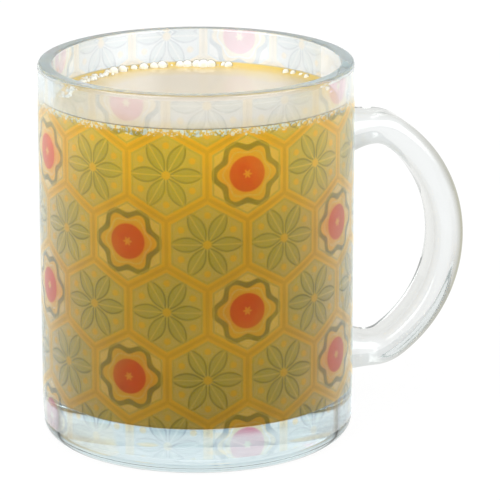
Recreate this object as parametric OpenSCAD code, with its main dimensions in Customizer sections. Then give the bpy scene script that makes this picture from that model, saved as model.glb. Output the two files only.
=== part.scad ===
// Clear glass mug with a welded strap handle, and a printed coating round its wall.
// Millimetres, +Z up. The origin is on the mug's axis, in the plane of the foot.
// The handle points along +X.

/* [Glass body] */
// Outside diameter of the wall, over the coating
body_d = 80; // [70:0.5:95]
// Height from the table to the top of the rim
body_h = 97; // [85:0.5:125]
// Thickness of the glass wall
wall_t = 3.5; // [2.5:0.1:5]
// Radius along both edges of the flat, fire-polished rim
rim_r = 0.75; // [0.25:0.05:1.2]
// Thickness of the base, from the table to the floor inside
base_t = 11.5; // [8:0.5:16]
// Radius of the corner between the wall and the floor inside
floor_r = 1; // [1:0.5:8]
// Radius of the heel, between the wall and the foot
heel_r = 4; // [2:0.5:6]
// Width of the flat ring that the mug stands on
foot_w = 4; // [2:0.5:8]
// Depth of the hollow under the base, at its middle
punt_h = 0.6; // [0.5:0.1:3]

/* [Handle] */
// Width of the strap, along the fingers' loop
strap_w = 13.5; // [9:0.5:18]
// Thickness of the strap
strap_t = 8; // [5:0.5:10]
// Radius along the strap's four edges
strap_edge_r = 3.5; // [1:0.25:4]
// Widest gap between the coated wall and the strap
finger_gap = 22; // [19:0.5:32]
// From the top of the rim down to the centre line of the upper arm
arm_drop = 19.75; // [14:0.25:28]
// From the table up to the centre line of the lower arm
arm_rise = 17.75; // [14:0.25:28]
// Straight length of each arm, from the wall to its bend
arm_l = 6.25; // [3:0.25:8]
// Radius of the bend that ends each arm, on the centre line
bend_r = 9.25; // [6:0.25:12]
// Extra width of each root, where it is welded to the wall
root_extra_w = 2.5; // [0:0.5:12]
// Extra thickness of each root at the weld, towards the finger gap
root_in_t = 2; // [0:0.25:3]
// Extra thickness of each root at the weld, away from the finger gap
root_out_t = 0.5; // [0:0.25:2]
// Length over which a root flares out to the weld
root_l = 6.5; // [4:0.5:10]

/* [Coating and print] */
// Thickness of the clear coating under the dyed layer
clear_t = 0.1; // [0.1:0.05:0.3]
// Thickness of the dyed layer, the coating's outer skin
dye_t = 0.1; // [0.1:0.05:0.3]
// Bare glass between the rim's round edge and the coating
coat_drop = 0.25; // [0:0.25:12]
// Bare glass between the heel and the coating
coat_rise = 0.5; // [0:0.25:8]
// Clear border between the edges of the coating and the print
print_border = 0.25; // [0.25:0.25:5]
// Strip without print at the handle, measured along the wall
print_gap = 26; // [22:0.5:60]
// Clear space between the coating and the handle's roots
root_clear = 0.2; // [0.1:0.05:1]

/* [Hidden] */
$fn = 96;
// Steps round the thin films, fine enough for a chord to stay well within a film
film_steps = 360;
// Rings of the handle's loft on each arm, bend and half of the long curve
arm_rings = 9;
bend_rings = 6;
curve_rings = 12;
// Points on each rounded edge of the strap's section
edge_points = 5;
// Edge radius at the weld, as a share of the root's thickness
weld_edge = 0.49;
// Cutting shapes reach this far past the faces that they cut
over = 1;

// Radii of the coated wall, the bare glass and the cup inside
body_r = body_d / 2;
glass_r = body_r - clear_t - dye_t;
cup_r = glass_r - wall_t;
// Height at which the wall ends and the rim's round edges start
rim_z = body_h - rim_r;
// Ball that hollows the base, through the foot ring's inner edge and the top of the hollow
punt_edge_r = glass_r - heel_r - foot_w;
punt_ball_r = (punt_edge_r * punt_edge_r + punt_h * punt_h) / (2 * punt_h);

// The handle's centre line is even about the height handle_z: an arm, a bend and half of one long curve
half_span = (body_h - arm_drop - arm_rise) / 2;
handle_z = arm_rise + half_span;
bend_x = glass_r + arm_l;
bend_z = half_span - bend_r;
crest_x = body_r + finger_gap + strap_t / 2;
// The long curve passes the crest and runs into the bend without a kink
bend_to_crest = crest_x - bend_x;
curve_r = (bend_to_crest ^ 2 + bend_z ^ 2 - bend_r ^ 2) / (2 * (bend_to_crest - bend_r));
curve_x = crest_x - curve_r;
join_a = atan2(bend_z, bend_x - curve_x);
// Size of a root at the weld, and where its loft starts, behind the round wall
root_w = strap_w + root_extra_w;
root_t = strap_t + root_in_t + root_out_t;
root_x = sqrt(glass_r ^ 2 - (root_w / 2) ^ 2) - over;
// How far a root's middle is moved away from the finger gap, as its two sides thicken unevenly
root_shift = (root_out_t - root_in_t) / 2;
// The edge radius is limited by the strap's thickness, and the weld has fully round ends
edge_r = min(strap_edge_r, strap_t / 2);

// Height of the coating and of the print
coat_z = heel_r + coat_rise;
coat_h = rim_z - coat_drop - coat_z;
print_h = coat_h - 2 * print_border;
print_gap_a = print_gap / body_r * 180 / PI;

// A point of the centre line on a circle, with the direction of the strap's outer face
function on_circle(x, z, r, a) = [x + r * cos(a), z + r * sin(a), a];

// Stations along the upper half of the centre line, from the weld to the crest: [x, z, direction]
upper_half = [
    for (i = [0:arm_rings - 1]) [root_x + (bend_x - root_x) * i / arm_rings, half_span, 90],
    for (i = [0:bend_rings - 1]) on_circle(bend_x, bend_z, bend_r, 90 - (90 - join_a) * i / bend_rings),
    for (i = [0:curve_rings]) on_circle(curve_x, 0, curve_r, join_a * (1 - i / curve_rings))
];
lower_half = [for (i = [len(upper_half) - 2:-1:0]) let (s = upper_half[i]) [s[0], -s[1], -s[2]]];
stations = concat(upper_half, lower_half);

// How far a root has flared at a distance x from the axis, from 1 at the weld to 0 on the plain strap
function flare(x) = let (e = max(0, x - glass_r) / root_l) e < 1 ? (1 - e) ^ 2 : 0;

// Points round a rectangle with round corners
function section(w, t, r) = [
    for (k = [0:3], j = [0:edge_points])
        let (a = 90 * (k + j / edge_points))
            [(k == 0 || k == 3 ? 1 : -1) * (w / 2 - r) + r * cos(a),
             (k < 2 ? 1 : -1) * (t / 2 - r) + r * sin(a)]
];

// The strap's section at a station, set square to the centre line and flared by f
function ring(s) =
    let (f = flare(s[0]), t = strap_t + (root_t - strap_t) * f, r = edge_r + (weld_edge * t - edge_r) * f) [
        for (p = section(strap_w + root_extra_w * f, t, r))
            let (out = p[1] + root_shift * f)
                [s[0] + out * cos(s[2]), p[0], handle_z + s[1] + out * sin(s[2])]
    ];

// Skin over rings of n points each, with flat ends
module loft(rings) {
    n = len(rings[0]);
    last = len(rings) - 1;
    polyhedron(
        points = [for (r = rings, p = r) p],
        faces = concat(
            [[for (j = [n - 1:-1:0]) j]],
            [for (i = [0:last - 1], j = [0:n - 1]) [i * n + j, i * n + (j + 1) % n, (i + 1) * n + j]],
            [for (i = [0:last - 1], j = [0:n - 1])
                [i * n + (j + 1) % n, (i + 1) * n + (j + 1) % n, (i + 1) * n + j]],
            [[for (j = [0:n - 1]) last * n + j]]
        ),
        convexity = 4
    );
}

// Solid block between the table and the rim, with a round heel
module outside_profile() {
    translate([0, heel_r]) square([glass_r, rim_z - heel_r]);
    square([glass_r - heel_r, heel_r + over]);
    translate([glass_r - heel_r, heel_r]) circle(heel_r);
}

// Space inside the cup, with a round corner at the floor
module cup_profile() {
    translate([0, base_t + floor_r]) square([cup_r, body_h]);
    translate([0, base_t]) square([cup_r - floor_r, floor_r + over]);
    translate([cup_r - floor_r, base_t + floor_r]) circle(floor_r);
}

// The flat top of the wall, with a round edge inside and outside
module rim_profile() {
    translate([cup_r + rim_r, rim_z - over]) square([wall_t - 2 * rim_r, rim_r + over]);
    for (x = [cup_r + rim_r, glass_r - rim_r]) translate([x, rim_z]) circle(rim_r);
}

module glass_body() {
    color("aliceblue", 0.5) rotate_extrude() {
        difference() {
            outside_profile();
            cup_profile();
            translate([0, punt_h - punt_ball_r]) circle(punt_ball_r);
        }
        rim_profile();
    }
}

module handle() {
    color("lightcyan", 0.6) difference() {
        loft([for (s = stations) ring(s)]);
        cylinder(h = body_h, r = glass_r);
    }
}

// Long round-ended opening in the coating round one root of the handle, centred at a height z
module root_window(z) {
    t = root_t + 2 * root_clear;
    apart = max(0.1, root_w - root_t);
    translate([0, 0, z]) rotate([90, 0, 90]) linear_extrude(body_d) {
        square([apart, t], center = true);
        for (side = [-1, 1]) translate([side * apart / 2, 0]) circle(d = t);
    }
}

// The printed part of the coating: a sleeve that stops on both sides of the handle
module dyed_layer() {
    rotate([0, 0, print_gap_a / 2]) rotate_extrude(angle = 360 - print_gap_a, $fn = film_steps)
        translate([glass_r + clear_t, coat_z + print_border]) square([dye_t, print_h]);
}

module coating() {
    color("white", 0.3) difference() {
        rotate_extrude($fn = film_steps) translate([glass_r, coat_z]) square([clear_t + dye_t, coat_h]);
        for (side = [-1, 1]) root_window(handle_z + side * (half_span + root_shift));
        dyed_layer();
    }
}

module print() {
    color("darkorange", 0.8) dyed_layer();
}

glass_body();
handle();
coating();
print();
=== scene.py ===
"""Printed glass mug with a drink in it: its looks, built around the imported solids."""
import math
from types import SimpleNamespace

import bmesh
import bpy
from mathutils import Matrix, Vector


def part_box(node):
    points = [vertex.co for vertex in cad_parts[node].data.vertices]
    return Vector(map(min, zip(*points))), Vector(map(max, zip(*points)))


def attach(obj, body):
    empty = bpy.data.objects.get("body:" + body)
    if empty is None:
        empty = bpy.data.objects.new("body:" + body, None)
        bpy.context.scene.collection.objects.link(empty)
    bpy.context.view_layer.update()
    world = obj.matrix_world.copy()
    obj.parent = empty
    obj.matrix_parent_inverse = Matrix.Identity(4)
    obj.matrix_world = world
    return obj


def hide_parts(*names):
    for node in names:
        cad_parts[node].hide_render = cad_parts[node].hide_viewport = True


bl_info = {
    "name": "Printed glass mug",
    "version": (1, 0, 0),
    "blender": (4, 5, 0),
    "location": "View3D > Sidebar > Mug",
    "description": "Builds a printed glass mug, the drink in it and a white studio",
    "category": "Object",
}

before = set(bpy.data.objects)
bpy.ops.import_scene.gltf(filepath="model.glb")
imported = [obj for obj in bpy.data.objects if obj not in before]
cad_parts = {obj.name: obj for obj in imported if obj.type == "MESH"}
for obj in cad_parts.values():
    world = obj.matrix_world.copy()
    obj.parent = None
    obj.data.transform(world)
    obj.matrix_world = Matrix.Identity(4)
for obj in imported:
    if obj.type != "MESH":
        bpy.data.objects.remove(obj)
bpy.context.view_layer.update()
BODY_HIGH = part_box("glass_body")[1]
COAT_LOW, COAT_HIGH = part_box("coating")
PRINT_LOW, PRINT_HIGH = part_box("print")

MM = 0.001
# Points that lie closer together than this are one point
TINY = 0.0001 * MM
UP = (0, 0, 1)
WHITE = (1, 1, 1, 1)
# Steps round the mug, and the angle from which an edge between two faces is sharp
ROUND_STEPS = 256
SHARP_EDGE = math.radians(40)
# Edge radius of a root at its weld, as a share of its thickness
WELD_EDGE = 0.49
# Rings that fill the end of a root, as shares of its outline
WELD_RINGS = (0.05, 0.35, 0.7)
# Share of a film's thickness that is left free under it
FILM_AIR = 0.2
# How strongly the glass, the films and the drink bend light, and how soon the glass takes on its tint
GLASS_IOR = 1.5
FILM_IOR = 1.3
DRINK_IOR = 1.34
GLASS_DENSITY = 12.0
HANDLE_DENSITY = 14.0
# A heavy base gets painted dark upright lines of shade where its side is turned this far from the eye, as a
# cosine
BASE_SHADE_FACING = 0.425
BASE_SHADE_WIDTH = 0.035
BASE_SHADE_SOFT = 0.0525
BASE_SHADE_COLOUR = (0.01, 0.013, 0.008)
# The side of the handle that looks onto the room gets painted shade, darker and warmer, as the room is
# darker and warmer than the studio
SHADED_SIDE = (0.95, -0.27, -0.15)


# Settings that a user would change

def length(name, description, default):
    """A size in metres."""
    return bpy.props.FloatProperty(
        name=name, description=description, default=default, unit="LENGTH", precision=5
    )


def colour(name, description, default):
    """A linear colour."""
    return bpy.props.FloatVectorProperty(
        name=name, description=description, default=default, subtype="COLOR", size=3, min=0.0, max=1.0
    )


class GlassSizes(bpy.types.PropertyGroup):
    """Sizes of the glass body."""
    height: length("Height", "From the table to the top of the rim", BODY_HIGH.z)
    wall_radius: length("Wall radius", "Outside radius of the wall, over the print", -PRINT_LOW.x)
    film: length("Film", "Thickness of the clear coating, and of the dyed layer on it", 0.1 * MM)
    wall: length("Wall", "Thickness of the glass wall", 3.5 * MM)
    rim_round: length("Rim edges", "Radius along both edges of the flat rim", 0.75 * MM)
    base: length("Base", "From the table to the floor inside", 11.5 * MM)
    floor_round: length("Floor corner", "Radius of the corner between wall and floor inside", 1 * MM)
    heel: length("Heel", "Radius of the heel outside", 4 * MM)
    foot_width: length("Foot width", "Width of the flat ring that the mug stands on", 4 * MM)
    punt: length("Punt", "Depth of the hollow under the base", 0.6 * MM)


class HandleSizes(bpy.types.PropertyGroup):
    """Sizes of the strap handle."""
    strap_width: length("Strap width", "Width of the strap", 13.5 * MM)
    strap_thickness: length("Strap thickness", "Thickness of the strap", 8 * MM)
    strap_edge: length("Strap edge", "Radius along the strap's edges", 3.5 * MM)
    finger_gap: length("Finger gap", "Widest gap between the wall and the strap", 22 * MM)
    arm_drop: length("Arm drop", "From the rim down to the middle of the upper arm", 19.75 * MM)
    arm_rise: length("Arm rise", "From the table up to the middle of the lower arm", 17.75 * MM)
    arm: length("Arm", "Straight length of each arm", 6.25 * MM)
    bend: length("Bend", "Radius of the bend that ends each arm", 9.25 * MM)
    root_extra_width: length("Root width", "Extra width of each root at the weld", 2.5 * MM)
    root_inwards: length("Root inwards", "Extra thickness of each root towards the finger gap", 2 * MM)
    root_outwards: length("Root outwards", "Extra thickness of each root on its other side", 0.5 * MM)
    root_flare: length("Root flare", "Length over which a root flares out", 6.5 * MM)
    weld_lap: length("Weld lap", "How deep the strap is melted into the wall", 0.15 * MM)


class PrintSizes(bpy.types.PropertyGroup):
    """Sizes of the print on the coating."""
    gap: length("Gap", "Strip without print at the handle, along the wall", 26 * MM)
    root_clear: length("Root clearance", "Between the coating and the handle's roots", 0.2 * MM)
    pitch: length("Pitch", "Distance between the middles of two honeycomb cells", 20 * MM)
    shift_round: length("Shift round", "How far the pattern is moved round the wall", 6 * MM)
    shift_up: length("Shift up", "How far the pattern is moved up the wall", 8 * MM)


class DrinkSizes(bpy.types.PropertyGroup):
    """Sizes of the drink."""
    level: length("Level", "From the table to the drink's flat surface", 87.3 * MM)
    meniscus_rise: length("Meniscus rise", "How far the drink climbs up the glass", 1.1 * MM)
    meniscus_width: length("Meniscus width", "How far from the glass the climb starts", 5.5 * MM)
    froth_depth: length("Froth depth", "How far down the glass the fine froth reaches", 2.2 * MM)
    glass_lap: length("Glass lap", "How far the drink reaches into the glass, to leave no air", 0.05 * MM)


class MugColours(bpy.types.PropertyGroup):
    """Colours of the glass, the dyes and the drink."""
    glass: colour("Glass", "Colour that thick glass takes on", (0.83, 0.95, 0.98))
    handle: colour("Handle glass", "Colour that the handle takes on", (0.45, 0.55, 0.55))
    # Painted shade that the glass takes on where it is seen at a slant
    edge: colour("Glass edge", "Colour of the glass at a slant", (0.82, 0.84, 0.82))
    # Painted shade that the handle takes on where it is seen at a slant
    handle_slant_shade: colour("Handle edge", "Colour of the handle's glass at a slant", (0.62, 0.61, 0.55))
    # Painted shade on the handle's side that looks onto the room
    handle_side_shade: colour("Handle side", "Outer side of the handle", (0.24, 0.22, 0.13))
    amber: colour("Amber dye", "Frames and borders", (0.97, 0.83, 0.58))
    cream: colour("Cream dye", "Palest parts of the print", (0.96, 0.97, 0.96))
    haze: colour("Haze", "What the coating sends back at a slant", (0.84, 0.81, 0.68))
    moss: colour("Moss dye", "Ground of the leaf rosettes", (0.81, 0.86, 0.89))
    sage: colour("Sage dye", "Leaves", (0.69, 0.78, 0.81))
    deep_sage: colour("Deep sage dye", "Outlines", (0.45, 0.53, 0.60))
    red: colour("Red dye", "Discs", (0.87, 0.30, 0.42))
    drink_high: colour("Drink, high", "Drink near its surface", (0.93, 0.56, 0.016))
    drink_low: colour("Drink, low", "Drink near the floor", (0.44, 0.26, 0.005))
    drink_edge: colour("Drink, edge", "Drink's open surface near the glass", (0.53, 0.36, 0.05))
    drink_skin: colour("Drink, skin", "Drink's open surface", (0.44, 0.375, 0.29))
    # Also the colour of the painted glints on the larger bubbles
    froth: colour("Froth", "Bubbles, large and fine", (0.96, 0.96, 0.92))


class MugSettings(bpy.types.PropertyGroup):
    """Everything that can be set on the mug."""
    glass: bpy.props.PointerProperty(type=GlassSizes)
    handle: bpy.props.PointerProperty(type=HandleSizes)
    print: bpy.props.PointerProperty(type=PrintSizes)
    drink: bpy.props.PointerProperty(type=DrinkSizes)
    colours: bpy.props.PointerProperty(type=MugColours)


# Shapes worked out from the settings

def glass_lines(g):
    """Radii and centres that the glass outline and its neighbours share."""
    s = SimpleNamespace()
    s.glass_radius = g.wall_radius - 2 * g.film
    s.cup_radius = s.glass_radius - g.wall
    s.rim_z = g.height - g.rim_round
    s.punt_edge = s.glass_radius - g.heel - g.foot_width
    s.punt_ball = (s.punt_edge ** 2 + g.punt ** 2) / (2 * g.punt)
    return s


def angles_between(start, stop, steps):
    """Even steps from one angle in degrees to another, both included, as radians."""
    return [math.radians(start + (stop - start) * i / steps) for i in range(steps + 1)]


def arc(x, z, radius, start, stop, steps):
    """Points of an arc about (x, z), both ends included, with the angles in degrees."""
    angles = angles_between(start, stop, steps)
    return [(x + radius * math.cos(a), z + radius * math.sin(a)) for a in angles]


def flat_stretch(start, stop, margin=0.4 * MM):
    """Two points near both ends of a straight stretch, which keep smooth shading flat between them."""
    share = min(margin / math.dist(start, stop), 1 / 3)
    return [tuple(a + (b - a) * t for a, b in zip(start, stop)) for t in (share, 1 - share)]


def held_line(points, longest=2 * MM):
    """Holds each long stretch of an outline flat."""
    held = [points[0]]
    for start, stop in zip(points, points[1:]):
        if math.dist(start, stop) > longest:
            held += flat_stretch(start, stop)
        held.append(stop)
    return held


def glass_outline(g, rows):
    """Outline of the glass body from the middle of its underside, over the rim, to the middle of its floor.

    The wall gets extra points at the heights in rows.
    """
    s = glass_lines(g)
    punt_end = math.degrees(math.atan2(s.punt_ball - g.punt, s.punt_edge))
    points = arc(0, g.punt - s.punt_ball, s.punt_ball, 90, punt_end, steps=20)
    points += arc(s.glass_radius - g.heel, g.heel, g.heel, -90, 0, steps=14)
    points += [(s.glass_radius, z) for z in rows]
    points += arc(s.glass_radius - g.rim_round, s.rim_z, g.rim_round, 0, 90, steps=10)
    points += arc(s.cup_radius + g.rim_round, s.rim_z, g.rim_round, 90, 180, steps=10)
    points += arc(s.cup_radius - g.floor_round, g.base + g.floor_round, g.floor_round, 0, -90, steps=12)
    return held_line(points + [(0, g.base)])


def drink_outline(g, d):
    """Outline of the drink from the middle of the floor, up the wall, to the middle of its surface."""
    s = glass_lines(g)
    lap = d.glass_lap
    corner_x, corner_z = s.cup_radius - g.floor_round, g.base + g.floor_round
    corner = arc(corner_x, corner_z, g.floor_round + lap, -90, 0, steps=12)
    top = d.level + d.meniscus_rise
    points = [(0, g.base - lap)] + corner + [(s.cup_radius + lap, top)]
    steps = 14
    for i in range(steps + 1):
        share = i / steps
        rise = d.meniscus_rise * (1 - share) ** 3
        points.append((s.cup_radius - d.meniscus_width * share, d.level + rise))
    return held_line(points + [(0, d.level)])


def strap_section(width, thickness, edge):
    """Points round a rectangle with round corners, with each side held flat."""
    corners = [
        arc(side * (width / 2 - edge), up * (thickness / 2 - edge), edge, 90 * k, 90 * k + 90, steps=10)
        for k, (side, up) in enumerate(((1, 1), (-1, 1), (-1, -1), (1, -1)))
    ]
    points = []
    for corner, following in zip(corners, corners[1:] + corners[:1]):
        points += corner + flat_stretch(corner[-1], following[0])
    return points


def flared_section(h, distance):
    """The strap's section at a distance from the wall: wider, thicker and rounder towards the weld."""
    share = max(0.0, 1 - distance / h.root_flare) ** 2
    thickness = h.strap_thickness + (h.root_inwards + h.root_outwards) * share
    edge = h.strap_edge + (WELD_EDGE * thickness - h.strap_edge) * share
    section = strap_section(h.strap_width + h.root_extra_width * share, thickness, edge)
    shift = (h.root_outwards - h.root_inwards) / 2 * share
    return [(y, up + shift) for y, up in section]


def handle_stations(g, h):
    """The centre line's bends and long curve, from the end of the upper arm to the end of the lower one."""
    s = glass_lines(g)
    half = (g.height - h.arm_drop - h.arm_rise) / 2
    bend_x = s.glass_radius + h.arm
    bend_z = half - h.bend
    crest = g.wall_radius + h.finger_gap + h.strap_thickness / 2
    reach = crest - bend_x
    curve = (reach ** 2 + bend_z ** 2 - h.bend ** 2) / (2 * (reach - h.bend))
    join = math.degrees(math.atan2(bend_z, bend_x - crest + curve))
    bend_steps, curve_steps = 14, 72
    stations = []
    for x, z, radius, start, stop, steps in (
        (bend_x, bend_z, h.bend, 90, join, bend_steps),
        (crest - curve, 0, curve, join, -join, curve_steps),
        (bend_x, -bend_z, h.bend, -join, -90, bend_steps),
    ):
        # Each stretch but the first leaves out its first station, where the one before it ends
        for a in angles_between(start, stop, steps)[bool(stations):]:
            stations.append((x + radius * math.cos(a), z + radius * math.sin(a), a))
    return stations, half, h.arm_rise + half


def weld_rings(h, radius, height, side, shares=WELD_RINGS):
    """The end of a root on a round wall, as rings that grow from its middle."""
    return [
        [
            Vector((math.sqrt(radius ** 2 - (y * share) ** 2), y * share, height + side * up * share))
            for y, up in flared_section(h, 0)
        ]
        for share in shares
    ]


def handle_rings(g, h):
    """Sections of the strap from weld to weld. Each arm starts on the round wall, flared at its root."""
    s = glass_lines(g)
    stations, half, middle = handle_stations(g, h)
    weld_radius = s.glass_radius - h.weld_lap
    bend_x = stations[0][0]

    def arm_ring(share, side):
        ring = []
        for y, up in flared_section(h, share * h.arm):
            wall_x = math.sqrt(weld_radius ** 2 - y ** 2)
            ring.append(Vector((wall_x + (bend_x - wall_x) * share, y, middle + side * half + side * up)))
        return ring

    # Rings lie closer together towards the weld, where the arm flares
    arm_steps, crowding = 12, 1.3
    shares = [(i / arm_steps) ** crowding for i in range(arm_steps)]
    rings = weld_rings(h, weld_radius, middle + half, 1) + [arm_ring(share, 1) for share in shares]
    for x, z, angle in stations:
        section = flared_section(h, x - s.glass_radius)
        rings.append([
            Vector((x + up * math.cos(angle), y, middle + z + up * math.sin(angle))) for y, up in section
        ])
    rings += [arm_ring(share, -1) for share in reversed(shares)]
    return rings + list(reversed(weld_rings(h, weld_radius, middle - half, -1)))


# Meshes

def piece_from(name, bm):
    """Turns a bmesh into a smooth object at the origin, with its faces outwards."""
    bmesh.ops.remove_doubles(bm, verts=bm.verts, dist=TINY)
    bmesh.ops.recalc_face_normals(bm, faces=bm.faces)
    for face in bm.faces:
        face.smooth = True
    mesh = bpy.data.meshes.new(name)
    bm.to_mesh(mesh)
    bm.free()
    piece = bpy.data.objects.new(name, mesh)
    bpy.context.scene.collection.objects.link(piece)
    return piece


def revolved(name, outline, steps=ROUND_STEPS):
    """A closed solid of revolution about Z. The outline starts and ends on the axis."""
    bm = bmesh.new()
    turns = [2 * math.pi * i / steps for i in range(steps)]
    rings = []
    for x, z in outline:
        if x < TINY:
            rings.append([bm.verts.new((0, 0, z))] * steps)
        else:
            rings.append([bm.verts.new((x * math.cos(a), x * math.sin(a), z)) for a in turns])
    for low, high in zip(rings, rings[1:]):
        for i in range(steps):
            corners = [low[i], low[(i + 1) % steps], high[(i + 1) % steps], high[i]]
            bm.faces.new(list(dict.fromkeys(corners)))
    return piece_from(name, bm)


def skinned(name, rings, looped=False):
    """A closed skin over rings of as many points each, looped or with a face on both ends."""
    bm = bmesh.new()
    made = [[bm.verts.new(p) for p in ring] for ring in rings]
    count = len(made[0])
    pairs = list(zip(made, made[1:])) + ([(made[-1], made[0])] if looped else [])
    for low, high in pairs:
        for i in range(count):
            bm.faces.new((low[i], low[(i + 1) % count], high[(i + 1) % count], high[i]))
    if not looped:
        bm.faces.new(made[0])
        bm.faces.new(made[-1])
    return piece_from(name, bm)


def sleeve(name, inner, outer, low, high, start, stop, looped=False):
    """A thin round sleeve about Z between two angles."""
    steps = ROUND_STEPS
    turns = [start + (stop - start) * i / steps for i in range(steps if looped else steps + 1)]
    section = ((inner, low), (outer, low), (outer, high), (inner, high))
    rings = [[Vector((r * math.cos(a), r * math.sin(a), z)) for r, z in section] for a in turns]
    piece = skinned(name, rings, looped)
    piece.data.set_sharp_from_angle(angle=SHARP_EDGE)
    return piece


def dress(piece, *materials):
    """Gives a piece its materials, in order."""
    for material in materials:
        piece.data.materials.append(material)


def paint_outside(piece):
    """Gives the second material to the faces that look away from the axis, give or take 60 degrees."""
    for face in piece.data.polygons:
        outwards = Vector((face.center.x, face.center.y, 0)).normalized()
        if face.normal.dot(outwards) > math.cos(math.radians(60)):
            face.material_index = 1


def plain_mesh(piece):
    """Applies a piece's modifiers to its mesh."""
    made = bpy.data.meshes.new_from_object(piece.evaluated_get(bpy.context.evaluated_depsgraph_get()))
    piece.modifiers.clear()
    piece.data = made


def cut_away(piece, cutter, material):
    """Cuts a shape out of a piece and removes the shape. The cut faces get the material."""
    dress(cutter, material)
    cut = piece.modifiers.new("cut", "BOOLEAN")
    cut.object = cutter
    cut.solver = "EXACT"
    cut.material_mode = "TRANSFER"
    plain_mesh(piece)
    bpy.data.objects.remove(cutter)


def settle(piece, slot, *nodes):
    """Hands a finished piece to the frame."""
    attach(piece, "root")
    if nodes:
        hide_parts(*nodes)


# Shader nodes

class Term:
    """A socket that can be used in sums: each sum adds a Math node to the socket's tree."""

    def __init__(self, tree, socket):
        self.tree = tree
        self.socket = socket

    def maths(self, operation, *others, clamp=False):
        """What a Math node makes of this term and the others."""
        node = self.tree.nodes.new("ShaderNodeMath")
        node.operation = operation
        node.use_clamp = clamp
        for socket, value in zip(node.inputs, (self, *others)):
            feed(self.tree, socket, value)
        return Term(self.tree, node.outputs[0])

    def __add__(self, other):
        return self.maths("ADD", other)

    def __sub__(self, other):
        return self.maths("SUBTRACT", other)

    def __mul__(self, other):
        return self.maths("MULTIPLY", other)

    def __truediv__(self, other):
        return self.maths("DIVIDE", other)

    def __lt__(self, other):
        return self.maths("LESS_THAN", other)

    def __gt__(self, other):
        return self.maths("GREATER_THAN", other)

    def size(self):
        """This term without its sign."""
        return self.maths("ABSOLUTE")

    def sloped(self, slope=1.0, start=0.0, clamp=True):
        """slope times this term plus start, kept between 0 and 1 unless clamp is off."""
        return self.maths("MULTIPLY_ADD", slope, start, clamp=clamp)

    def wrapped(self, half):
        """This term, brought between -half and half by whole steps."""
        return self.maths("WRAP", half, -half)

    def chosen(self, other, share):
        """This term where share is 1, and the other where it is 0."""
        return other + (self - other) * share


def feed(tree, socket, value):
    """Sets an input to a plain value, or links it to a term or to another node's output."""
    if isinstance(value, Term):
        value = value.socket
    if isinstance(value, bpy.types.NodeSocket):
        tree.links.new(value, socket)
    else:
        socket.default_value = value


def add_node(tree, kind, inputs=(), **named):
    """Adds a node and feeds its inputs, by number or by name, with underscores for a name's spaces."""
    node = tree.nodes.new(kind)
    for number, value in dict(inputs).items():
        feed(tree, node.inputs[number], value)
    for name, value in named.items():
        feed(tree, node.inputs[name.replace("_", " ")], value)
    return node


def new_material(name):
    """A node material without nodes, and its tree."""
    material = bpy.data.materials.new(name)
    material.use_nodes = True
    material.node_tree.nodes.clear()
    return material, material.node_tree


def finished(material, surface, depth=None):
    """Gives a material its surface shader, and a shader for its depth where it has one."""
    output = add_node(material.node_tree, "ShaderNodeOutputMaterial", Surface=surface.outputs[0])
    if depth is not None:
        feed(material.node_tree, output.inputs["Volume"], depth.outputs[0])
    return material


def blended(tree, share, first, second):
    """The first shader where share is 0, and the second where it is 1."""
    return add_node(tree, "ShaderNodeMixShader", {0: share, 1: first.outputs[0], 2: second.outputs[0]})


def see_through(tree):
    """A shader that lets all light pass."""
    return add_node(tree, "ShaderNodeBsdfTransparent", Color=WHITE)


def coloured(tree, shade, **named):
    """A shader of some colour, with its other inputs by name."""
    return add_node(tree, "ShaderNodeBsdfPrincipled", Base_Color=shade, **named)


def mixed_colour(tree, share, first, second):
    """first where share is 0, second where it is 1. Each is a socket or a colour."""
    node = tree.nodes.new("ShaderNodeMix")
    node.data_type = "RGBA"
    feed(tree, node.inputs[0], share)
    # The node has inputs for several kinds of value: its colours are inputs 6 and 7 and output 2
    for socket, value in ((node.inputs[6], first), (node.inputs[7], second)):
        feed(tree, socket, value if isinstance(value, bpy.types.NodeSocket) else (*value, 1.0))
    return node.outputs[2]


def painted(tree, ground, *layers):
    """Paints layers over a ground, one after another. Each is a share and a colour."""
    for share, paint in layers:
        ground = mixed_colour(tree, share, ground, paint)
    return ground


def dimmed(paint, share):
    """A share of a colour's light."""
    return tuple(share * v for v in paint)


def object_place(tree):
    """Object coordinates, in metres."""
    return tree.nodes.new("ShaderNodeTexCoord").outputs["Object"]


def vector_maths(tree, operation, *vectors):
    """The outputs of a Vector Math node. Each vector is a socket or three numbers."""
    node = tree.nodes.new("ShaderNodeVectorMath")
    node.operation = operation
    for socket, vector in zip(node.inputs, vectors):
        feed(tree, socket, vector)
    return node.outputs


def along_axis(tree, vector, axis):
    """How far a vector reaches along an axis."""
    return Term(tree, vector_maths(tree, "DOT_PRODUCT", vector, axis)["Value"])


def levelled(tree, vector):
    """The part of a vector along the table."""
    return vector_maths(tree, "MULTIPLY", vector, (1, 1, 0))["Vector"]


def from_axis(tree, place):
    """How far a place lies from the mug's axis."""
    return Term(tree, vector_maths(tree, "LENGTH", levelled(tree, place))["Value"])


def way_round(tree, place, radius):
    """How far a place lies round a wall of some radius, from the side away from the handle."""
    front, left = (along_axis(tree, place, axis) for axis in ((0, -1, 0), (-1, 0, 0)))
    return front.maths("ARCTAN2", left) * radius


def from_middle(across, up):
    """How far a point lies from the middle, where both terms are 0."""
    return (across * across + up * up).maths("SQRT")


def inside(distance, soft=0.4):
    """1 inside a shape, 0 outside it, with a soft edge. The distance is below 0 inside."""
    return distance.sloped(-1.0 / soft, 0.5)


def faded(term, full, gone):
    """1 at full and beyond it, 0 at gone and beyond it, and a smooth step between."""
    node = add_node(term.tree, "ShaderNodeMapRange", Value=term, From_Min=gone, From_Max=full)
    node.interpolation_type = "SMOOTHSTEP"
    return Term(term.tree, node.outputs[0])


def slanting(tree):
    """0 where a surface is seen straight on, up to 1 where it is seen along its face."""
    return Term(tree, add_node(tree, "ShaderNodeLayerWeight", Blend=0.5).outputs["Facing"])


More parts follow.
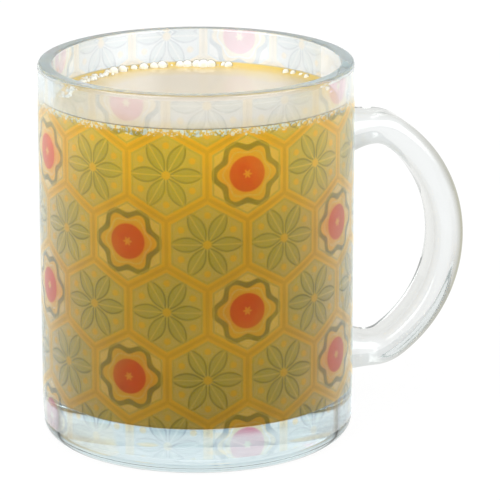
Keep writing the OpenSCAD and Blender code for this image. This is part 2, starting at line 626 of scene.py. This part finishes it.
def mirrored(tree, ior, **named):
    """The share of light that a clear surface mirrors, more at a slant."""
    return Term(tree, add_node(tree, "ShaderNodeFresnel", IOR=ior, **named).outputs[0])


def patches(tree, place, scale, detail, distortion=0.0):
    """Soft random patches, about a half on average."""
    node = add_node(
        tree, "ShaderNodeTexNoise", Vector=place, Scale=scale, Detail=detail, Distortion=distortion,
    )
    return Term(tree, node.outputs[0])


def ripple(tree, scale, strength, distance):
    """A soft waviness for a surface, as a normal."""
    waves = patches(tree, object_place(tree), scale, detail=2.0)
    bump = add_node(tree, "ShaderNodeBump", Height=waves, Strength=strength, Distance=distance)
    return bump.outputs["Normal"]


# Glass and films

def outside_below(tree, place, radius, height):
    """1 beyond a radius from the axis and below a height, and 0 elsewhere."""
    return (from_axis(tree, place) > radius) * (along_axis(tree, place, UP) < height)


def painted_base_shade(tree, place, radius, height):
    """1 along the two painted dark lines of shade near the sides of a heavy base, and 0 elsewhere."""
    seen = tree.nodes.new("ShaderNodeNewGeometry").outputs
    eye = vector_maths(tree, "NORMALIZE", levelled(tree, seen["Incoming"]))["Vector"]
    across = (along_axis(tree, eye, seen["Normal"]).size() - BASE_SHADE_FACING).size()
    line = inside(across - BASE_SHADE_WIDTH, BASE_SHADE_SOFT)
    return line * outside_below(tree, place, radius, height)


def tinted_depth(tree, tint, density):
    """A shader for glass that takes on a tint with depth."""
    return add_node(tree, "ShaderNodeVolumeAbsorption", Color=(*tint, 1), Density=density)


def clear_glass(name, tint, density, waviness, edge, coated=None, base=None, room_side_shade=None):
    """Clear glass with a tint in its depth and painted grey shade where it is seen at a slant, softly wavy
    as hot-formed glass is.

    coated is a radius, a height and a colour: beyond the radius and under the height a coating lies on
    the glass, and scatters some of the light that the wall would otherwise hold.
    base is the inner radius of a heavy base's side and the base's height, which bound the painted dark lines
    of shade.
    warm is the colour of the painted shade on the side that looks onto the room.
    """
    material, tree = new_material(name)
    place = object_place(tree)
    # Painted shade: greyer where the glass is seen at a slant
    shade = mixed_colour(tree, slanting(tree), (1, 1, 1), edge)
    # Painted shade: dark upright lines near the sides of the heavy base
    if base:
        shade = mixed_colour(tree, painted_base_shade(tree, place, *base), shade, BASE_SHADE_COLOUR)
    # Painted shade: the handle's side that looks onto the room is painted darker and warmer
    if room_side_shade:
        facing = tree.nodes.new("ShaderNodeNewGeometry").outputs["Normal"]
        steepness, start = 2.5, -1.125
        share = along_axis(tree, facing, SHADED_SIDE).sloped(steepness, start)
        shade = mixed_colour(tree, share, shade, room_side_shade)
    normal = ripple(tree, scale=55.0, strength=waviness, distance=0.4 * MM)
    surface = coloured(tree, shade, Normal=normal, Roughness=0.0, IOR=GLASS_IOR, Transmission_Weight=1.0)
    if coated:
        radius, height, milk = coated
        nearly_all, scattered = 0.98, 0.6
        on_coat = outside_below(tree, place, radius, height)
        share = (mirrored(tree, GLASS_IOR) > nearly_all) * on_coat * scattered
        scatter = add_node(tree, "ShaderNodeBsdfTranslucent", Color=(*milk, 1))
        surface = blended(tree, share, surface, scatter)
    return finished(material, surface, tinted_depth(tree, tint, density))


def welded_glass(name, tint, density):
    """The same glass at a weld, where light goes straight on into the other piece."""
    material, tree = new_material(name)
    return finished(material, see_through(tree), tinted_depth(tree, tint, density))


def clear_film(name, shine):
    """A clear film: nearly all light passes, and a little is mirrored, more at a slant."""
    material, tree = new_material(name)
    normal = ripple(tree, scale=900.0, strength=0.05, distance=0.05 * MM)
    mirror = add_node(tree, "ShaderNodeBsdfGlossy", Normal=normal, Color=WHITE, Roughness=0.06)
    share = mirrored(tree, FILM_IOR, Normal=normal) * shine
    return finished(material, blended(tree, share, see_through(tree), mirror))


# Print

class Honeycomb:
    """Where a point of the print lies in its honeycomb cell, in millimetres."""

    def __init__(self, tree, sizes, wall_radius):
        place = object_place(tree)
        pitch = sizes.pitch / MM
        row = pitch * math.sqrt(3) / 2
        round_wall = way_round(tree, place, wall_radius / MM) - sizes.shift_round / MM
        up_wall = along_axis(tree, place, UP) / MM - sizes.shift_up / MM
        first = round_wall.wrapped(pitch / 2), up_wall.wrapped(row)
        second = (round_wall - pitch / 2).wrapped(pitch / 2), (up_wall - row).wrapped(row)
        is_first = from_middle(*first) < from_middle(*second)
        self.across = first[0].chosen(second[0], is_first)
        self.up = first[1].chosen(second[1], is_first)
        self.radius = from_middle(self.across, self.up)
        self.angle = self.up.maths("ARCTAN2", self.across)
        # Every third cell holds a disc, so that no two of them touch: its cosine is 1, the others' is -0.5
        order = (round_wall - self.across) / pitch - (up_wall - self.up) * (math.sqrt(3) / pitch)
        self.has_disc = (order * (2 * math.pi / 3)).maths("COSINE") > 0.5
        # The cell folded into one twelfth: along the nearest spoke and away from it
        folded = self.angle.wrapped(math.pi / 6)
        self.along = self.radius * folded.maths("COSINE")
        self.aside = self.radius * folded.maths("SINE").size()
        self.from_border = (self.along - pitch / 2).size()

    def lobes(self, middle, swing):
        """How far a point lies outside a round shape with six lobes."""
        return self.radius - ((self.angle * 6.0).maths("COSINE") * swing + middle)


def print_colours(tree, cell, c):
    """The dyes of the print: leaf rosettes on a honeycomb, and a medallion with a disc in every third cell.

    Sizes are in millimetres, and those of lines are half their widths.
    """
    leaf_length, leaf_middle, leaf_width, vein, leaf_outline = 4.1, 5.1, 1.75, 0.12, 0.2
    bud_along, bud_aside, bud_radius, heart_radius = 6.4, 3.7, 0.85, 1.1
    frame_radius, frame_swing, frame_outline = 7.5, 0.9, 0.75
    inset_radius, inset_swing, inset_line = 5.7, 0.4, 0.22
    disc_radius, star_radius, star_swing = 4.5, 0.85, 0.3
    border, border_core, border_line_at, border_line = 1.2, 0.45, 1.5, 0.16
    reach = (cell.along - leaf_middle) / leaf_length
    leaf_edge = (reach * reach - 1.0) * leaf_width + cell.aside
    rosette = painted(
        tree, c.moss,
        (inside(leaf_edge), c.sage),
        (inside(leaf_edge.size() - leaf_outline), c.deep_sage),
        (inside(cell.aside - vein) * inside(leaf_edge), c.cream),
        (inside(from_middle(cell.along - bud_along, cell.aside - bud_aside) - bud_radius), c.amber),
        (inside(cell.radius - heart_radius), c.amber),
    )
    frame_edge = cell.lobes(frame_radius, frame_swing)
    medallion = painted(
        tree, c.cream,
        (inside(frame_edge), c.amber),
        (inside(frame_edge.size() - frame_outline), c.deep_sage),
        (inside(cell.lobes(inset_radius, inset_swing).size() - inset_line), c.cream),
        (inside(cell.radius - disc_radius), c.red),
        (inside(cell.lobes(star_radius, star_swing)), c.amber),
    )
    return painted(
        tree, rosette,
        (cell.has_disc, medallion),
        (inside(cell.from_border - border), c.amber),
        (inside(cell.from_border - border_core), dimmed(c.amber, share=0.88)),
        (inside((cell.from_border - border_line_at).size() - border_line), c.sage),
    )


def dyed_film(name, sizes, wall_radius, low, high, c):
    """The dyed skin of the coating: it tints the light that passes, and looks milky at a slant.

    The dye is painted paler above the height high and below the height low, where light comes from behind.
    """
    backlight_paling, wash_swing, wash_start = 0.58, 0.4, -0.1
    milk_share, haze_power, haze_share, backlight_haze = 0.6, 2.2, 0.5, 0.08
    step_out, step_in = 2 * MM, 1 * MM
    material, tree = new_material(name)
    place = object_place(tree)
    height = along_axis(tree, place, UP)
    # Painted light: where light comes from behind, above the drink and below the floor inside, the dye is
    # painted paler and its milky haze goes towards the moss dye
    painted_backlight = faded(height, low - step_out, low + step_in) + faded(height, high + step_out, high - step_in)
    wash = patches(tree, place, scale=160.0, detail=4.0).sloped(wash_swing, wash_start)
    pale = painted_backlight * backlight_paling + wash
    dye = print_colours(tree, Honeycomb(tree, sizes, wall_radius), c)
    tint = mixed_colour(tree, pale.sloped(), dye, c.cream)
    milk = mixed_colour(tree, milk_share, tint, mixed_colour(tree, painted_backlight, c.haze, c.moss))
    skin = coloured(tree, milk, Roughness=0.25, IOR=1.45, Specular_IOR_Level=0.5)
    through = add_node(tree, "ShaderNodeBsdfTransparent", Color=tint)
    haze = slanting(tree).maths("POWER", haze_power) * haze_share + painted_backlight * backlight_haze
    return finished(material, blended(tree, haze, through, skin))


# Drink

def ring_bubbles(tree, place, sunk, radius, plain, shade, c):
    """A row of larger bubbles seen through the glass, sunk just under the drink's edge on its right front,
    each with a painted glint and a painted ring of shade.

    Sizes are in millimetres, and bubbles are wider than high, as the round glass stretches them.
    """
    pitch, stretch, least, swing, cover = 3.4, 1.4, 0.5, 0.65, 0.3
    first, last = math.radians(112) * radius, math.radians(150) * radius
    round_wall = way_round(tree, place, radius)
    number = (round_wall / pitch).maths("FLOOR")
    chance = tree.nodes.new("ShaderNodeTexWhiteNoise")
    chance.noise_dimensions = "1D"
    feed(tree, chance.inputs["W"], number)
    size = Term(tree, chance.outputs["Value"]).sloped(swing, least, clamp=False)
    across = (round_wall - (number + 0.5) * pitch) / stretch
    down = sunk - size - cover
    away = from_middle(across, down)
    here = inside((round_wall - (first + last) / 2).size() - (last - first) / 2, soft=2.0)
    # The painted glint is an arc within the bubble's edge, on the side that the light comes from, and the
    # painted ring of shade lies just within the edge
    arc_at, arc_line, shade_ring_at, shade_ring_line, shade_ring_share = 0.65, 0.16, 0.92, 0.1, 0.7
    light_side, light_down, light_start = 0.5, 0.85, 0.2
    lit = inside(across * light_side + down * light_down + size * light_start, soft=0.3)
    glint = inside((away - size * arc_at).size() - arc_line, soft=0.2) * lit
    edge = inside((away - size * shade_ring_at).size() - shade_ring_line, soft=0.12)
    return painted(
        tree, shade,
        (inside(away - size, soft=0.15) * here, plain),
        (glint * here, c.froth),
        (edge * here * shade_ring_share, dimmed(c.drink_low, share=0.5)),
    )


def fine_froth(tree, place, density, shade, paint):
    """Lays dots of three sizes over a shade, more of them where the density is higher."""
    least, swing, soft = 0.28, 0.2, 0.12
    for cells in (850.0, 1200.0, 1800.0):
        dots = add_node(tree, "ShaderNodeTexVoronoi", Vector=place, Scale=cells).outputs
        lots = add_node(tree, "ShaderNodeSeparateColor", Color=dots["Color"]).outputs
        size = Term(tree, lots[1]).sloped(swing, least, clamp=False)
        dot = inside(Term(tree, dots["Distance"]) - size, soft) * (density > Term(tree, lots[0]))
        shade = mixed_colour(tree, dot, shade, paint)
    return shade


def drink_body(name, g, d, c):
    """The cloudy drink against the glass: paler high up, with drifting clouds, fine froth on top and a
    painted dark line of shade along its top edge.
    """
    even_share, top_share, cloud_share = 0.62, 0.38, 0.35
    top_full, top_gone = 0.95, 0.62
    froth_gain, froth_tint = 1.5, (0.95, 0.92, 0.75)
    line, shade_line_soft = 0.25 * MM, 0.1 * MM
    material, tree = new_material(name)
    place = object_place(tree)
    height = along_axis(tree, place, UP)
    level = (height - g.base) / (d.level - g.base)
    clouds = patches(tree, place, scale=45.0, detail=5.0, distortion=0.8) - 0.5
    share = level * even_share + faded(level, top_full, top_gone) * top_share + clouds * cloud_share
    plain = mixed_colour(tree, share.sloped(), c.drink_low, c.drink_high)
    below = (height - (d.level + d.meniscus_rise)) * -1.0
    density = (below / -d.froth_depth + 1.0).sloped(froth_gain)
    froth = tuple(a * b for a, b in zip(c.froth, froth_tint))
    shade = fine_froth(tree, place, density, plain, froth)
    shade = ring_bubbles(tree, place, below / MM, glass_lines(g).cup_radius / MM, plain, shade, c)
    # Painted shade: a dark line along the drink's top edge, where it meets the glass
    shade = mixed_colour(tree, inside(below - line, shade_line_soft), shade, dimmed(c.drink_low, share=0.4))
    # Seen from within the glass at a slant, the thinner drink mirrors all light, so the base looks clear
    cloudy = coloured(tree, shade, Roughness=0.6, Specular_IOR_Level=0.0)
    mirror = add_node(tree, "ShaderNodeBsdfGlossy", Color=WHITE, Roughness=0.0)
    return finished(material, blended(tree, mirrored(tree, DRINK_IOR / GLASS_IOR), cloudy, mirror))


def drink_surface(name, radius, c):
    """The drink's open surface: wet and still, pale in the middle and more orange near the glass, with a
    painted grey ring of shade where it meets the glass.
    """
    unevenness, edge_slope, edge_start = 0.3, 2.4, -1.55
    rim, contact_shade_share = 0.3 * MM, 0.6
    material, tree = new_material(name)
    place = object_place(tree)
    away = from_axis(tree, place)
    edge = away / radius + (patches(tree, place, scale=70.0, detail=6.0) - 0.5) * unevenness
    shade = painted(
        tree, c.drink_skin,
        (edge.sloped(edge_slope, edge_start), c.drink_edge),
        # Painted shade: a grey ring where the surface meets the glass
        (inside((away - radius).size() - rim, rim) * contact_shade_share, dimmed(c.froth, share=0.4)),
    )
    normal = ripple(tree, scale=60.0, strength=0.08, distance=0.4 * MM)
    return finished(material, coloured(tree, shade, Normal=normal, Roughness=0.03, IOR=DRINK_IOR))


def bubble_film(name, c):
    """The wet film of a bubble: whitish in the middle, with a thin edge of painted grey shade at a slant."""
    edge_slope, edge_start, film_slope, film_start = 4.0, -1.6, 0.3, 0.45
    material, tree = new_material(name)
    slant = slanting(tree)
    # Painted shade: the film greys towards its edge, where it is seen at a slant
    shade = mixed_colour(tree, slant.sloped(edge_slope, edge_start), c.froth, dimmed(c.froth, share=0.3))
    white = coloured(tree, shade, Roughness=0.05, IOR=DRINK_IOR)
    return finished(material, blended(tree, slant.sloped(film_slope, film_start), see_through(tree), white))


def bubble_tree():
    """Geometry nodes that strew bubbles along a stretch of a circle, which they touch from inside."""
    tree = bpy.data.node_groups.new("Bubble ring", "GeometryNodeTree")
    numbers = "Start", "Sweep", "Circle", "Height", "Spread", "Smallest", "Largest"
    kinds = {"Count": "Int", **dict.fromkeys(numbers, "Float"), "Seed": "Int", "Material": "Material"}
    sockets = {
        name: tree.interface.new_socket(name, in_out="INPUT", socket_type=f"NodeSocket{kind}").identifier
        for name, kind in kinds.items()
    }
    tree.interface.new_socket("Geometry", in_out="OUTPUT", socket_type="NodeSocketGeometry")
    given = tree.nodes.new("NodeGroupInput").outputs
    count, seed = (Term(tree, given[name]) for name in ("Count", "Seed"))
    start, sweep, circle, height, spread, smallest, largest = (Term(tree, given[name]) for name in numbers)

    def chance(most, draw):
        """A number from 0 to most for each bubble. Each draw is another one."""
        node = tree.nodes.new("FunctionNodeRandomValue")
        node.data_type = "FLOAT"
        # The node has inputs for several kinds of value: plain numbers are inputs 2 and 3 and output 1
        for key, value in ((2, 0.0), (3, most), ("Seed", seed + draw)):
            feed(tree, node.inputs[key], value)
        return Term(tree, node.outputs[1])

    jitter, sunk = 0.6, 0.1
    index = Term(tree, tree.nodes.new("GeometryNodeInputIndex").outputs[0])
    size = smallest + (largest - smallest) * chance(1.0, 0)
    angle = start + sweep * (index + chance(jitter, 1)) / count
    away = circle - size - spread * chance(1.0, 2)
    place = add_node(
        tree, "ShaderNodeCombineXYZ",
        X=angle.maths("COSINE") * away, Y=angle.maths("SINE") * away, Z=height + size * sunk,
    )
    points = add_node(tree, "GeometryNodePoints", Count=count, Position=place.outputs[0])
    ball = add_node(tree, "GeometryNodeMeshIcoSphere", Radius=1.0, Subdivisions=2)
    smooth = add_node(tree, "GeometryNodeSetShadeSmooth", {0: ball.outputs[0]})
    strewn = add_node(
        tree, "GeometryNodeInstanceOnPoints",
        Points=points.outputs[0], Instance=smooth.outputs[0], Scale=size,
    )
    real = add_node(tree, "GeometryNodeRealizeInstances", {0: strewn.outputs[0]})
    wet = add_node(tree, "GeometryNodeSetMaterial", {0: real.outputs[0]}, Material=given["Material"])
    add_node(tree, "NodeGroupOutput", {0: wet.outputs[0]})
    return tree, sockets


# Operators

class MUG_OT_stage(bpy.types.Operator):
    """Make the camera, the white floor and the soft studio light"""
    bl_idname = "mug.stage"
    bl_label = "Stage"

    camera_distance = 0.8256
    camera_turn = math.radians(-13.3)
    camera_lift = math.radians(16.15)
    camera_lens = 232.6
    aim_height = 0.0471
    aim_side = 0.0135
    floor_radius = 8.0
    floor_dark, floor_pale = 0.04, 0.06
    table_glow = 0.945
    # Share of the glow that the painted shadow ring under the foot takes away, and how softly that ring ends
    contact_shade = 0.9
    contact_soft = 1 * MM
    # Soft panels of the studio: azimuth from straight behind the mug, positive to the right, elevation,
    # full and faded half-width in degrees, and brightness
    panels = (
        (0, 10, 30, 75, 0.55),
        (0, 90, 25, 55, 0.50),
        (-130, 32, 18, 38, 5.60),
        (125, 30, 15, 35, 5.80),
    )
    room_light = 0.35
    room_colour = (0.98, 1.0, 1.0, 1)

    def execute(self, context):
        scene = context.scene
        self.make_camera(scene)
        self.make_floor(scene)
        self.make_light(scene)
        scene.view_settings.view_transform = "Standard"
        scene.cycles.max_bounces = 40
        scene.cycles.transmission_bounces = 24
        scene.cycles.glossy_bounces = 24
        scene.cycles.diffuse_bounces = 6
        scene.cycles.transparent_max_bounces = 48
        return {"FINISHED"}

    def make_camera(self, scene):
        """A long lens that looks down on the mug a little, from the left of its front."""
        level = math.cos(self.camera_lift)
        side = Vector((math.cos(self.camera_turn), math.sin(self.camera_turn), 0))
        back = Vector((side.y * level, -side.x * level, math.sin(self.camera_lift)))
        data = bpy.data.cameras.new("camera")
        data.lens = self.camera_lens
        data.clip_start = 0.01
        camera = bpy.data.objects.new("camera", data)
        camera.location = Vector((0, 0, self.aim_height)) + back * self.camera_distance
        aim = Vector((0, 0, self.aim_height)) + side * self.aim_side
        camera.rotation_euler = (aim - camera.location).to_track_quat("-Z", "Y").to_euler()
        scene.collection.objects.link(camera)
        scene.camera = camera

    def make_floor(self, scene):
        """A white table that glows, so that the mug's shadow is faint, with a painted ring of shadow under
        the foot.
        """
        bm = bmesh.new()
        bmesh.ops.create_circle(bm, cap_ends=True, segments=96, radius=self.floor_radius)
        floor = piece_from("floor", bm)
        material, tree = new_material("light table")
        place = object_place(tree)
        grain = patches(tree, place, scale=40.0, detail=3.0)
        shade = mixed_colour(tree, grain, (self.floor_dark,) * 3, (self.floor_pale,) * 3)
        glass = scene.mug.glass
        foot = glass_lines(glass).glass_radius - glass.heel - glass.foot_width / 2
        # Painted shadow: the glow is dimmed in a ring under the foot
        ring = inside((from_axis(tree, place) - foot).size() - glass.foot_width / 2, self.contact_soft)
        glow = ring.sloped(-self.contact_shade * self.table_glow, self.table_glow, clamp=False)
        surface = coloured(
            tree, shade, Roughness=1.0, Specular_IOR_Level=0.0, Emission_Color=WHITE, Emission_Strength=glow,
        )
        dress(floor, finished(material, surface))

    def make_light(self, scene):
        """A dim room with soft bright panels: glass shows its edges against the dim stretches."""
        world = bpy.data.worlds.new("studio")
        scene.world = world
        world.use_nodes = True
        tree = world.node_tree
        tree.nodes.clear()
        way = tree.nodes.new("ShaderNodeTexCoord").outputs["Generated"]
        behind = math.pi / 2 + self.camera_turn
        total = None
        for azimuth, elevation, full, faint, brightness in self.panels:
            level = math.cos(math.radians(elevation))
            turn_to = behind - math.radians(azimuth)
            middle = level * math.cos(turn_to), level * math.sin(turn_to), math.sin(math.radians(elevation))
            apart = along_axis(tree, way, middle).maths("ARCCOSINE")
            panel = faded(apart, math.radians(full), math.radians(faint)) * brightness
            total = panel + (self.room_light if total is None else total)
        sky = add_node(tree, "ShaderNodeBackground", Color=self.room_colour, Strength=total)
        add_node(tree, "ShaderNodeOutputWorld", Surface=sky.outputs[0])


class MUG_OT_glass_body(bpy.types.Operator):
    """Make the glass body with its rim, heavy base and hollowed foot"""
    bl_idname = "mug.glass_body"
    bl_label = "Glass body"

    waviness = 0.06
    # The coating's light starts just within the wall's outside, with this share of the glass's colour
    coat_depth = 0.05 * MM
    coat_light = 0.5
    # Depth of each weld's seat, as a share of the weld's lap, and where its cut starts, in wall radii
    seat_depth = 1.2
    seat_start = 1.1

    def execute(self, context):
        mug = context.scene.mug
        g, h, tint = mug.glass, mug.handle, mug.colours.glass
        radius = glass_lines(g).glass_radius
        welds = (h.arm_rise, -1), (g.height - h.arm_drop, 1)
        rows = [z + away for z, side in welds for away in (-h.strap_thickness, h.strap_thickness)]
        body = revolved("mug_body", glass_outline(g, rows))
        coated = radius - self.coat_depth, COAT_HIGH.z, dimmed(tint, self.coat_light)
        # Where the painted dark lines of shade in the heavy base are drawn
        base = radius - g.heel, g.base
        # The painted grey shade of the glass where it is seen at a slant
        edge = mug.colours.edge
        dress(body, clear_glass("body glass", tint, GLASS_DENSITY, self.waviness, edge, coated, base))
        weld = welded_glass("body weld", tint, GLASS_DENSITY)
        for z, side in welds:
            rings = weld_rings(h, radius - self.seat_depth * h.weld_lap, z, side, (*WELD_RINGS, 1.0))
            rings.append([Vector((self.seat_start * radius, p.y, p.z)) for p in rings[-1]])
            cut_away(body, skinned("weld seat", rings), weld)
        body.data.set_sharp_from_angle(angle=SHARP_EDGE)
        settle(body, "clear_glass", "glass_body")
        return {"FINISHED"}


class MUG_OT_handle(bpy.types.Operator):
    """Make the strap handle with its flared welds"""
    bl_idname = "mug.handle"
    bl_label = "Handle"

    waviness = 0.12
    # Faces this close to the weld belong to it
    weld_reach = 0.005 * MM

    def execute(self, context):
        mug = context.scene.mug
        tint = mug.colours.handle
        handle = skinned("mug_handle", handle_rings(mug.glass, mug.handle))
        # The handle's painted shades: grey where it is seen at a slant, darker and warmer on its side that
        # looks onto the room
        edge, room_side_shade = mug.colours.handle_slant_shade, mug.colours.handle_side_shade
        dress(
            handle,
            clear_glass("handle glass", tint, HANDLE_DENSITY, self.waviness, edge, room_side_shade=room_side_shade),
            welded_glass("handle weld", tint, HANDLE_DENSITY),
        )
        weld_radius = glass_lines(mug.glass).glass_radius - mug.handle.weld_lap
        for face in handle.data.polygons:
            face.material_index = int(face.center.to_2d().length < weld_radius + self.weld_reach)
        handle.data.set_sharp_from_angle(angle=SHARP_EDGE)
        settle(handle, "handle_glass", "handle")
        return {"FINISHED"}


class MUG_OT_coating(bpy.types.Operator):
    """Make the clear coating round the wall, open round the handle's roots"""
    bl_idname = "mug.coating"
    bl_label = "Coating"

    shine = 0.15
    # Radius of the windows' ends, just under half their height
    window_end = 0.499
    # Where the windows' cuts start and stop, in wall radii
    window_reach = (0.5, 1.5)

    def execute(self, context):
        mug = context.scene.mug
        s = glass_lines(mug.glass)
        air = FILM_AIR * mug.glass.film
        coating = sleeve(
            "mug_coating", s.glass_radius + air, s.glass_radius + mug.glass.film,
            COAT_LOW.z, COAT_HIGH.z, 0, 2 * math.pi, looped=True,
        )
        edges = clear_film("coating edges", shine=0.0)
        dress(coating, edges, clear_film("clear coating", self.shine))
        paint_outside(coating)
        inwards = (mug.handle.root_inwards - mug.handle.root_outwards) / 2
        for z in (mug.handle.arm_rise + inwards, mug.glass.height - mug.handle.arm_drop - inwards):
            cut_away(coating, self.root_window(mug, z), edges)
        settle(coating, "clear_coating", "coating")
        return {"FINISHED"}

    def root_window(self, mug, height):
        """The round-ended opening for one root of the handle."""
        h = mug.handle
        width = h.strap_width + h.root_extra_width + 2 * mug.print.root_clear
        high = h.strap_thickness + h.root_inwards + h.root_outwards + 2 * mug.print.root_clear
        section = strap_section(width, high, self.window_end * high)
        cut = [share * mug.glass.wall_radius for share in self.window_reach]
        return skinned("root window", [[Vector((x, y, height + up)) for y, up in section] for x in cut])


class MUG_OT_print(bpy.types.Operator):
    """Make the dyed print, a wrap that stops on both sides of the handle"""
    bl_idname = "mug.print"
    bl_label = "Print"

    def execute(self, context):
        mug = context.scene.mug
        radius = mug.glass.wall_radius
        half_gap = mug.print.gap / radius / 2
        wrap = sleeve(
            "mug_print", radius - (1 - FILM_AIR) * mug.glass.film, radius,
            PRINT_LOW.z, PRINT_HIGH.z, half_gap, 2 * math.pi - half_gap,
        )
        dress(
            wrap,
            clear_film("print edges", shine=0.0),
            dyed_film("dyed print", mug.print, radius, mug.glass.base, mug.drink.level, mug.colours),
        )
        paint_outside(wrap)
        settle(wrap, "dyed_print", "print")
        return {"FINISHED"}


class MUG_OT_drink(bpy.types.Operator):
    """Fill the mug with a cloudy drink"""
    bl_idname = "mug.drink"
    bl_label = "Drink"

    def execute(self, context):
        mug = context.scene.mug
        drink = revolved("drink", drink_outline(mug.glass, mug.drink))
        cup_radius = glass_lines(mug.glass).cup_radius
        dress(
            drink,
            drink_body("drink body", mug.glass, mug.drink, mug.colours),
            drink_surface("drink surface", cup_radius, mug.colours),
        )
        upwards, surface_from = 0.3, mug.drink.level - 1 * MM
        for face in drink.data.polygons:
            face.material_index = int(face.normal.z > upwards and face.center.z > surface_from)
        settle(drink, "drink")
        return {"FINISHED"}


class MUG_OT_bubbles(bpy.types.Operator):
    """Strew bubbles along the edge of the drink"""
    bl_idname = "mug.bubbles"
    bl_label = "Bubbles"

    # Name, count, start and sweep in degrees, spread, smallest and largest radius in millimetres
    groups = (
        ("bubbles_back", 16, 61, 60, 0.1, 0.4, 1.75),
        ("bubbles_back_fine", 36, 58, 66, 1.2, 0.2, 0.5),
        ("bubbles_left", 120, 117, 50, 3.2, 0.2, 0.65),
        ("bubbles_right", 12, -8, 45, 0.4, 0.25, 1.1),
        ("bubbles_front", 190, -193, 185, 0.5, 0.2, 0.42),
    )
    first_seed, seed_step = 11, 7
    glass_clear = 0.05 * MM
    # How far up the meniscus the bubbles sit, as a share of its rise
    seat = 0.2

    def execute(self, context):
        mug = context.scene.mug
        tree, sockets = bubble_tree()
        film = bubble_film("bubble film", mug.colours)
        circle = glass_lines(mug.glass).cup_radius - self.glass_clear
        for number, (name, count, start, sweep, spread, smallest, largest) in enumerate(self.groups):
            bubbles = bpy.data.objects.new(name, bpy.data.meshes.new(name))
            context.scene.collection.objects.link(bubbles)
            nodes = bubbles.modifiers.new("bubbles", "NODES")
            nodes.node_group = tree
            for key, value in (
                ("Count", count), ("Start", math.radians(start)), ("Sweep", math.radians(sweep)),
                ("Circle", circle), ("Height", mug.drink.level + self.seat * mug.drink.meniscus_rise),
                ("Spread", spread * MM), ("Smallest", smallest * MM), ("Largest", largest * MM),
                ("Seed", self.first_seed + self.seed_step * number), ("Material", film),
            ):
                nodes[sockets[key]] = value
            plain_mesh(bubbles)
            settle(bubbles, "drink")
        return {"FINISHED"}


class MUG_PT_panel(bpy.types.Panel):
    """Lists the mug's pieces and settings"""
    bl_idname = "MUG_PT_panel"
    bl_label = "Printed glass mug"
    bl_space_type = "VIEW_3D"
    bl_region_type = "UI"
    bl_category = "Mug"

    def draw(self, context):
        for operator in OPERATORS:
            self.layout.operator(operator.bl_idname)
        mug = context.scene.mug
        for group in (mug.glass, mug.handle, mug.print, mug.drink, mug.colours):
            box = self.layout.box()
            for name in group.__annotations__:
                box.prop(group, name)


OPERATORS = (
    MUG_OT_stage, MUG_OT_glass_body, MUG_OT_handle, MUG_OT_coating, MUG_OT_print,
    MUG_OT_drink, MUG_OT_bubbles,
)
CLASSES = (
    GlassSizes, HandleSizes, PrintSizes, DrinkSizes, MugColours, MugSettings, *OPERATORS, MUG_PT_panel,
)


def register():
    """Registers the settings, the operators and the panel."""
    for cls in CLASSES:
        bpy.utils.register_class(cls)
    bpy.types.Scene.mug = bpy.props.PointerProperty(type=MugSettings)


def unregister():
    """Takes everything off again."""
    del bpy.types.Scene.mug
    for cls in reversed(CLASSES):
        bpy.utils.unregister_class(cls)


def main():
    """Makes the stage and every piece."""
    register()
    bpy.ops.mug.stage()
    bpy.ops.mug.glass_body()
    bpy.ops.mug.handle()
    bpy.ops.mug.coating()
    bpy.ops.mug.print()
    bpy.ops.mug.drink()
    bpy.ops.mug.bubbles()


if __name__ == "__main__":
    main()
